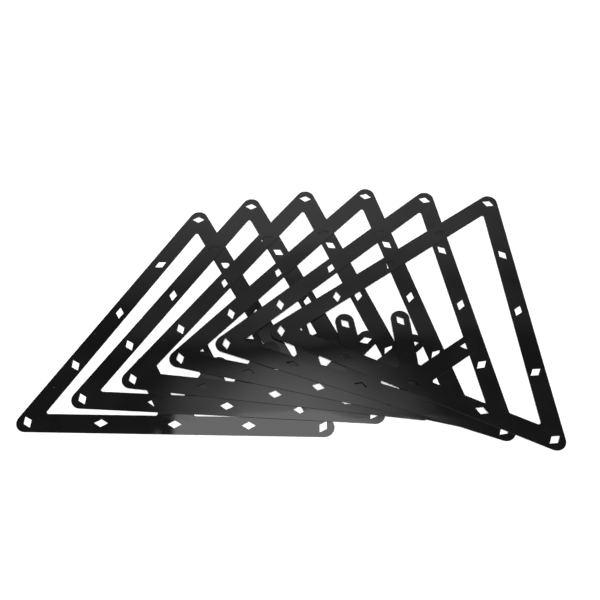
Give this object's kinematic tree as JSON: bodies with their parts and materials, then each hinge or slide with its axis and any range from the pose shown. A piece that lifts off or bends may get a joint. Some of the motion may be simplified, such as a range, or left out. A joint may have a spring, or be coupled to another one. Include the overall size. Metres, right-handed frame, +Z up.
{
  "type": "billiard rack set",
  "caption": "Thin black template racks for pool balls, lying in a fan: triangular frames with diamond-shaped ball holes and short inner arms.",
  "frame": {"origin": "on the table under the middle of the fan's bounding box", "axes": "+X runs along the fan from the bottom rack to the top one, +Y points from the front sides towards the far corners, +Z is up"},
  "size_m": [0.4196, 0.2582, 0.0029],
  "materials": {
    "black_plastic": "glossy black sheet"
  },
  "bodies": {
    "rack_1": {"rack_sheet_1": "black_plastic"},
    "rack_2": {"rack_sheet_2": "black_plastic"},
    "rack_3": {"rack_sheet_3": "black_plastic"},
    "rack_4": {"rack_sheet_4": "black_plastic"},
    "rack_5": {"rack_sheet_5": "black_plastic"},
    "rack_6": {"rack_sheet_6": "black_plastic"}
  },
  "joints": [
    {"name": "rack_2_lift", "type": "slide", "parent": "rack_1", "child": "rack_2", "axis": [0, 0, 1], "range_m": [0, 0.1]},
    {"name": "rack_3_lift", "type": "slide", "parent": "rack_2", "child": "rack_3", "axis": [0, 0, 1], "range_m": [0, 0.1]},
    {"name": "rack_4_lift", "type": "slide", "parent": "rack_3", "child": "rack_4", "axis": [0, 0, 1], "range_m": [0, 0.1]},
    {"name": "rack_5_lift", "type": "slide", "parent": "rack_4", "child": "rack_5", "axis": [0, 0, 1], "range_m": [0, 0.1]},
    {"name": "rack_6_lift", "type": "slide", "parent": "rack_5", "child": "rack_6", "axis": [0, 0, 1], "range_m": [0, 0.1]}
  ]
}
